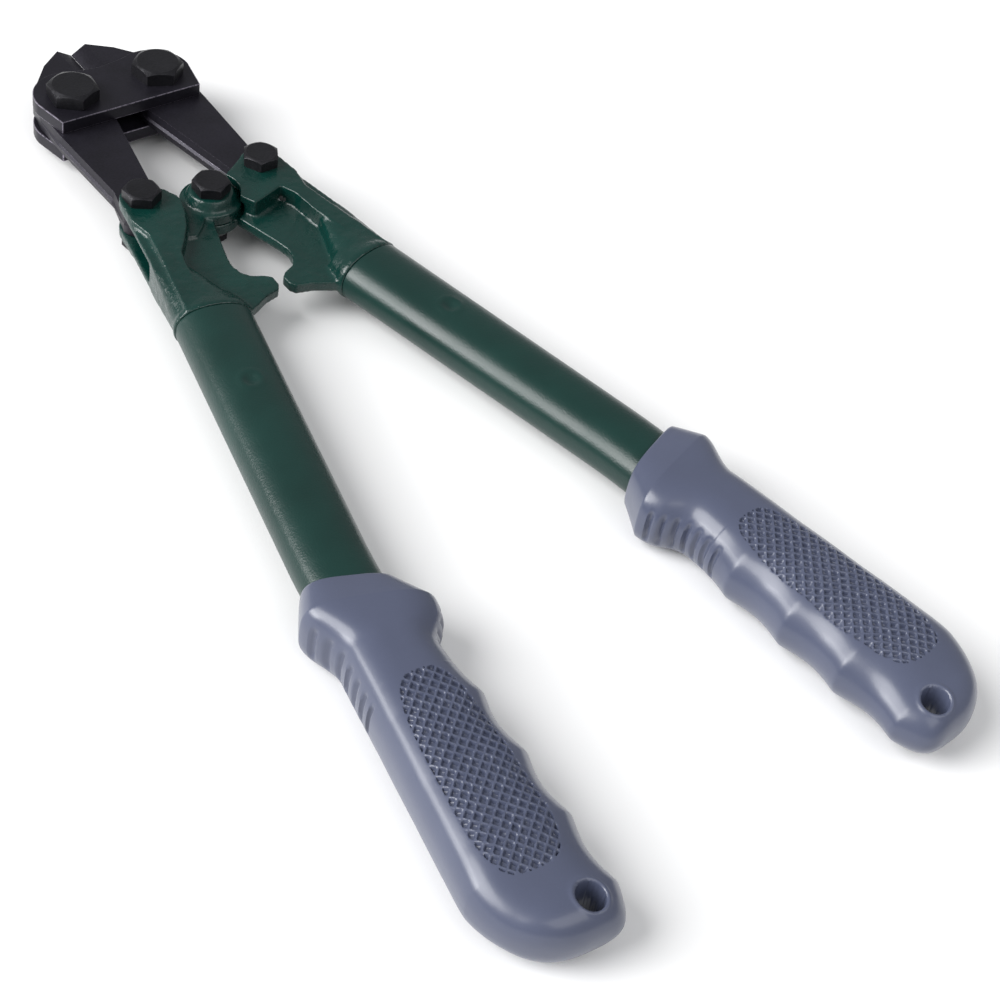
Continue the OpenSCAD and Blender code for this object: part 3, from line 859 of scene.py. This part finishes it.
class GripForm:
    """The outside of the right grip; v is the distance behind the collar's front edge."""

    flare, mouth_wall = 9 * MM, 1.2 * MM
    collar_shift, collar_lean = 0.9 * MM, math.radians(13)
    lean_from, lean_len = 3 * MM, 22 * MM
    neck_in, neck_in_len = 14 * MM, 19 * MM
    neck_out, neck_out_len = 12.6 * MM, 12 * MM
    finger_swell, finger_swell_len = 0.6 * MM, 40 * MM
    palm_swell, palm_from, palm_len = 7.2 * MM, 21 * MM, 70 * MM
    end_from, end_len = 82 * MM, 22 * MM
    # Exponents of the section's width and height, towards the fingers and towards the palm,
    # and what the squarer collar adds to them
    inner, inner_square = (2.7, 1.9), 0.9
    outer, outer_square = (3.2, 2.5), 0.7
    square_len = 12 * MM
    # Above this share of the half thickness, a point is on the top or the bottom
    face_from = 0.3

    def __init__(self, line):
        self.line = line
        self.grip = bpy.context.scene.cutter_grip
        self.collar_s = line.straight + self.grip.collar_to_bend
        beyond = (line.end[1] - HOLE.y) / math.cos(line.handle.grip_angle)
        self.hole_v = line.straight + line.bend + beyond - self.collar_s
        self.length = self.hole_v + self.grip.past_hole
        self.columns()

    def columns(self):
        """Angles round the section: even across the top and bottom, and even down the sides."""
        flat, top, side = 0.82, 54, 18
        across = np.linspace(-flat, flat, 2 * top + 1)
        power = np.where(across < 0, self.inner[0], self.outer[0])
        upper = np.arccos(np.sign(across) * np.abs(across) ** (power / 2))
        gaps = []
        for low, high in ((upper[-1], -upper[-1]), (2 * math.pi - upper[0], upper[0])):
            gaps.append(np.linspace(low, high, side + 2)[1:-1])
        self.angles = np.concatenate((upper, gaps[0], -upper[::-1], gaps[1]))

    def finger_wave(self, v):
        turns = (v - self.grip.finger_start) / self.grip.finger_pitch
        if turns < 0.5:
            return float(ease(turns * 2 + 1))
        wave, crest = abs(math.sin(math.pi * turns)), 0.1
        return math.sqrt(wave * wave + crest * crest) - crest

    def inner_reach(self, v):
        grip, tube_w = self.grip, self.line.handle.tube_w
        flared = grip.collar_w / 2 + self.collar_shift
        if v < self.flare:
            return mix(tube_w / 2 + self.mouth_wall, flared, v / self.flare)
        neck = flared + (self.neck_in - flared) * float(ease((v - self.flare) / self.neck_in_len))
        swell = mix(0, self.finger_swell, (v - grip.finger_start) / self.finger_swell_len)
        return neck + swell - grip.finger_depth * self.finger_wave(v)

    def outer_reach(self, v):
        grip, tube_w = self.grip, self.line.handle.tube_w
        flared = grip.collar_w / 2 - self.collar_shift
        if v < self.flare:
            return mix(tube_w / 2 + self.mouth_wall, flared, v / self.flare)
        neck = flared + (self.neck_out - flared) * float(ease((v - self.flare) / self.neck_out_len))
        return neck + mix(0, self.palm_swell, (v - self.palm_from) / self.palm_len)

    def thickness(self, v):
        grip = self.grip
        if v < self.flare:
            return mix(self.line.handle.tube_t + 2 * self.mouth_wall, grip.thick, v / self.flare)
        return mix(grip.thick, grip.end_thick, float(ease((v - self.end_from) / self.end_len)))

    def closing(self, v):
        """How far the end has closed in at v: from the fingers, from the palm, and in thickness."""
        round_len, edge_len, palm_close, finger_close = 24 * MM, 9 * MM, 20 * MM, 6 * MM
        turned = min(max(0, (v - self.length + round_len) / round_len), 1)
        close_in = (1 - math.sqrt(max(0, 1 - turned ** 8))) * finger_close
        close_out = (1 - math.sqrt(max(0, 1 - turned ** 2))) * palm_close
        edge = min(max(0, (v - self.length + edge_len) / edge_len), 1)
        return close_in, close_out, max(0, 1 - edge ** 2.4) ** (1 / 2.2)

    def row(self, v, inset=0.0):
        """The section at v, with its ribs, pits and hole rim."""
        close_in, close_out, share = self.closing(v)
        thick = self.thickness(v) / 2 * share
        low, high = -self.inner_reach(v) + close_in + inset, self.outer_reach(v) - close_out - inset
        cos, sin = np.cos(self.angles), np.sin(self.angles)
        square = 1 - float(ease((v - self.flare) / self.square_len))
        inner = [power + square * self.inner_square for power in self.inner]
        outer = [power + square * self.outer_square for power in self.outer]
        wide = np.where(cos < 0, blunt(cos, inner[0]), blunt(cos, outer[0]))
        tall = np.where(cos < 0, blunt(sin, inner[1]), blunt(sin, outer[1]))
        across = (low + high) / 2 + (high - low) / 2 * wide
        up = (thick - inset) * tall
        across -= np.sign(wide) * self.rib_groove(v, wide, up)
        up -= np.sign(up) * self.pit(v, across, tall)
        lean = self.collar_lean * (1 - float(ease((v - self.flare - self.lean_from) / self.lean_len)))
        points = self.line.row(self.collar_s + v, across, up, lean)
        points[:, 2] += np.sign(up) * self.hole_rim(points) * (np.abs(tall) > self.face_from)
        return points

    def hole_rim(self, points):
        """The low swell round the hanging hole, and the rounding of its edge."""
        swell, swell_back, swell_len = 0.22 * MM, 0.75 * MM, 0.45 * MM
        drop, drop_back, drop_len = 0.5 * MM, 0.35 * MM, 0.5 * MM
        past = np.hypot(points[:, 0] - HOLE.x, points[:, 1] - HOLE.y) - HOLE_R
        rim = swell * np.exp(-((past - swell_back) / swell_len) ** 2)
        return rim - drop * ease((drop_back - past) / drop_len)

    def rib_groove(self, v, wide, up):
        """The depth of the side grooves between the ribs, which fades towards the top and bottom."""
        grip = self.grip
        step = (v - grip.rib_start) / grip.rib_pitch
        if not -0.5 < step < grip.rib_count - 0.5:
            return np.zeros_like(up)
        fade_from, fade_len = 3.6 * MM, 2.6 * MM
        side_from, side_len = 0.72, 0.15
        on_side = 1 - ease((np.abs(up) - fade_from) / fade_len)
        depth = grip.rib_depth * max(0, math.cos(2 * math.pi * step)) ** 0.8
        return depth * on_side * ease((np.abs(wide) - side_from) / side_len)

    def pit(self, v, across, tall):
        """The depth of the pad's diamond pits."""
        grip = self.grip
        along = v - grip.pad_start - grip.pad_len / 2
        end = abs(along) / (grip.pad_len / 2)
        if end >= 1:
            return np.zeros_like(across)
        widening, drift, shift, bluntness = 0.043, 0.056, 2.15 * MM, 3.5
        pit_half, pit_wall, pad_edge = 0.385, 0.11, 0.35 * MM
        half = (grip.pad_w / 2 + widening * along) * (1 - end ** bluntness) ** (1 / bluntness)
        aside = across - (shift + drift * along)
        p, q = (aside + along) / grip.pit_pitch, (aside - along) / grip.pit_pitch
        edge = np.maximum(np.abs(p - np.rint(p)), np.abs(q - np.rint(q)))
        shape = ease((pit_half - edge) / pit_wall)
        inside = ease((half - np.abs(aside)) / pad_edge)
        return grip.pit_depth * shape * inside * (np.abs(tall) > self.face_from)


def make_grips():
    form = GripForm(HandleLine())
    line, handle, grip = form.line, form.line.handle, form.grip
    wide, tall = blunt(np.cos(form.angles), OVAL), blunt(np.sin(form.angles), OVAL)
    gap, mouth_gap = 0.1 * MM, 0.25 * MM
    cavity_v = line.tube_len - form.collar_s + 1 * MM
    rows = []
    for s in np.linspace(cavity_v, 1.2 * MM, 16):
        half = line.tube_width(form.collar_s + s) / 2 + gap
        share = max(0, 1 - (s / (12 * MM)))
        rows.append(line.row(form.collar_s + s, wide * half, tall * (handle.tube_t / 2 + gap),
                             form.collar_lean * share))
    rows.insert(0, np.repeat(rows[0].mean(0)[None], len(wide), 0))
    mouth = line.row(form.collar_s + 0.5 * MM, wide * (handle.tube_w / 2 + mouth_gap),
                     tall * (handle.tube_t / 2 + mouth_gap), form.collar_lean)
    rows.append(mouth)
    rows += [form.row(v * MM, inset * MM) for v, inset in ((0, 0.55), (0.12, 0.2), (0.4, 0))]
    pad_end = grip.pad_start + grip.pad_len
    pad_rows = np.arange(grip.pad_start - 1 * MM, pad_end + 1 * MM, grip.pit_pitch / 11)
    before = np.concatenate((np.arange(1 * MM, 8 * MM, 1 * MM), np.arange(8 * MM, 12 * MM, 0.3 * MM),
                             np.arange(12 * MM, pad_rows[0], 0.45 * MM)))
    rest = form.length - pad_rows[-1]
    after = pad_rows[-1] + rest * np.sin(np.linspace(0, math.pi / 2, 46))[1:]
    rows += [form.row(v) for v in (*before, *pad_rows, *after)]
    piece = rolled_skin("grip_right_moulding", rows)
    fresh()
    bpy.ops.mesh.primitive_cylinder_add(vertices=64, radius=HOLE_R, depth=80 * MM, location=HOLE)
    drill = added("drill")
    bpy.ops.object.transform_apply(location=True)
    apply_modifier(piece, "BOOLEAN", operation="DIFFERENCE", solver="EXACT", object=drill)
    bpy.data.objects.remove(drill)
    left = turned_over(piece, "grip_left_moulding")
    for moulding, node in ((piece, "grip_right"), (left, "grip_left")):
        paint(moulding, "grip_vinyl")
        shade(moulding, 50)
        hand_over(moulding, node)


# ---- the stage ----
def add_light(name, place, target, size, power, colour):
    fresh()
    bpy.ops.object.light_add(type="AREA", location=place)
    light = bpy.context.object
    light.name = name
    light.data.shape = "RECTANGLE"
    light.data.size, light.data.size_y = size
    light.data.energy = power
    light.data.color = colour
    light.rotation_euler = (Vector(target) - Vector(place)).to_track_quat("-Z", "Y").to_euler()


def add_key(place, strength):
    """The main light: broad and soft, and even over the whole floor."""
    fresh()
    bpy.ops.object.light_add(type="SUN", location=place)
    light = bpy.context.object
    light.name = "key_light"
    light.data.energy = strength
    light.data.angle = math.radians(40)
    light.rotation_euler = (-Vector(place)).to_track_quat("-Z", "Y").to_euler()


def add_camera(lens):
    """The camera looks down along the tool from behind its left grip, rolled a little."""
    azimuth, elevation, roll = (math.radians(a) for a in (44.14, 45.12, 11.06))
    ahead = Vector((math.sin(azimuth) * math.cos(elevation), math.cos(azimuth) * math.cos(elevation),
                    -math.sin(elevation)))
    level = Vector((math.cos(azimuth), -math.sin(azimuth), 0))
    upright = level.cross(ahead)
    right = level * math.cos(roll) + upright * math.sin(roll)
    up = upright * math.cos(roll) - level * math.sin(roll)
    place = Vector((-263.62, -473.88, 387.2)) * MM + Vector((0, JAW_PIN.y, MID_Z))
    fresh()
    bpy.ops.object.camera_add()
    camera = bpy.context.object
    camera.matrix_world = Matrix.Translation(place) @ Matrix((right, up, -ahead)).transposed().to_4x4()
    camera.data.sensor_width = 36
    camera.data.lens = lens
    camera.data.clip_start, camera.data.clip_end = 0.01, 50
    bpy.context.scene.camera = camera


def add_floor():
    fresh()
    bpy.ops.mesh.primitive_plane_add(size=30, location=(0, 0, 0))
    floor = added("floor")
    floor.data.materials.append(finish_of("pale_floor"))


def add_surroundings(strength):
    scene = bpy.context.scene
    world = bpy.data.worlds.new("surroundings")
    world.use_nodes = True
    background = world.node_tree.nodes["Background"]
    background.inputs["Color"].default_value = (0.97, 0.98, 1.0, 1)
    background.inputs["Strength"].default_value = strength
    scene.world = world
    scene.view_settings.view_transform = "Standard"


# ---- operators ----
class Piece:
    """What the operators share"""
    bl_options = {"REGISTER", "UNDO"}


class CUTTER_OT_jaws(Piece, bpy.types.Operator):
    """Models the two forged jaws, with their parting ridges, a painted highlight along each ridge, and rubbed
    edges
    """
    bl_idname = "cutter.jaws"
    bl_label = "Jaws"

    def execute(self, context):
        for node in ("jaw_left", "jaw_right"):
            make_jaw(node)
        return {"FINISHED"}


class CUTTER_OT_plates(Piece, bpy.types.Operator):
    """Models the two side plates"""
    bl_idname = "cutter.plates"
    bl_label = "Side plates"

    def execute(self, context):
        for node in ("top_plate", "bottom_plate"):
            make_plate(node)
        return {"FINISHED"}


# Width across the head's flats, and radius
JAW_BOLT = (14 * MM, 4 * MM)
LINK_BOLT = (10 * MM, 3 * MM)
BOLTS = {
    "jaw": (*JAW_BOLT, {"left": Vector((-JAW_PIN.x, JAW_PIN.y, 0)), "right": JAW_PIN}),
    "tail": (*LINK_BOLT, {"left": Vector((-TAIL_PIN.x, TAIL_PIN.y, 0)), "right": TAIL_PIN}),
}


class CUTTER_OT_bolts(Piece, bpy.types.Operator):
    """Models the hexagon-headed bolts with their threaded ends"""
    bl_idname = "cutter.bolts"
    bl_label = "Bolts"

    def execute(self, context):
        for kind, (flats, radius, places) in BOLTS.items():
            for side, centre in places.items():
                make_bolt(f"{kind}_bolt_{side}", centre, flats, radius, f"{kind}_nut_{side}", "bolt_steel")
        make_bolt("centre_bolt", CENTRE_PIN, *LINK_BOLT, "centre_nut", "bolt_steel")
        return {"FINISHED"}


class CUTTER_OT_nuts(Piece, bpy.types.Operator):
    """Models the chamfered nuts"""
    bl_idname = "cutter.nuts"
    bl_label = "Nuts"

    def execute(self, context):
        for kind, (flats, radius, places) in BOLTS.items():
            for side, centre in places.items():
                make_nut(f"{kind}_nut_{side}", centre, flats, radius, "bolt_steel")
        make_nut("centre_nut", CENTRE_PIN, *LINK_BOLT, "bolt_steel")
        return {"FINISHED"}


class CUTTER_OT_heads(Piece, bpy.types.Operator):
    """Models the two cast handle heads"""
    bl_idname = "cutter.heads"
    bl_label = "Handle heads"

    def execute(self, context):
        make_heads()
        return {"FINISHED"}


class CUTTER_OT_tubes(Piece, bpy.types.Operator):
    """Models the two oval handle tubes with their staking dimples"""
    bl_idname = "cutter.tubes"
    bl_label = "Handle tubes"

    def execute(self, context):
        make_tubes()
        return {"FINISHED"}


class CUTTER_OT_grips(Piece, bpy.types.Operator):
    """Models the two moulded grips with their finger grooves, ribs and knurled pads"""
    bl_idname = "cutter.grips"
    bl_label = "Grips"

    def execute(self, context):
        make_grips()
        return {"FINISHED"}


class CUTTER_OT_stage(Piece, bpy.types.Operator):
    """Sets up the floor, the lights and the camera"""
    bl_idname = "cutter.stage"
    bl_label = "Stage"

    def execute(self, context):
        stage = context.scene.cutter_stage
        add_floor()
        add_surroundings(stage.ambient)
        middle = (0, 0, 0)
        add_key((-0.85, 0.3, 0.8), stage.key)
        add_light("fill_softbox", (0.15, -0.75, 0.95), middle, (1.2, 0.7), stage.fill, (1.0, 1.0, 1.0))
        add_light("side_softbox", (-1.0, 0.55, 0.5), middle, (0.8, 0.35), stage.side, (1.0, 1.0, 1.0))
        add_camera(stage.lens)
        return {"FINISHED"}


class CUTTER_PT_panel(bpy.types.Panel):
    """Lists the pieces of the bolt cutters"""
    bl_idname = "CUTTER_PT_panel"
    bl_label = "Bolt cutters"
    bl_space_type = "VIEW_3D"
    bl_region_type = "UI"
    bl_category = "Bolt cutters"

    def draw(self, context):
        for operator in OPERATORS:
            self.layout.operator(operator.bl_idname)


PROPS = {"cutter_steel": SteelProps, "cutter_handle": HandleProps, "cutter_grip": GripProps,
         "cutter_stage": StageProps}
OPERATORS = (CUTTER_OT_stage, CUTTER_OT_jaws, CUTTER_OT_plates, CUTTER_OT_bolts, CUTTER_OT_nuts,
             CUTTER_OT_heads, CUTTER_OT_tubes, CUTTER_OT_grips)


def register():
    for group in (*PROPS.values(), *OPERATORS, CUTTER_PT_panel):
        bpy.utils.register_class(group)
    for name, group in PROPS.items():
        setattr(bpy.types.Scene, name, PointerProperty(type=group))


def unregister():
    for name in PROPS:
        delattr(bpy.types.Scene, name)
    for group in (CUTTER_PT_panel, *reversed(OPERATORS), *reversed(PROPS.values())):
        bpy.utils.unregister_class(group)


def main():
    register()
    bpy.ops.cutter.stage()
    bpy.ops.cutter.jaws()
    bpy.ops.cutter.plates()
    bpy.ops.cutter.bolts()
    bpy.ops.cutter.nuts()
    bpy.ops.cutter.heads()
    bpy.ops.cutter.tubes()
    bpy.ops.cutter.grips()


if __name__ == "__main__":
    main()
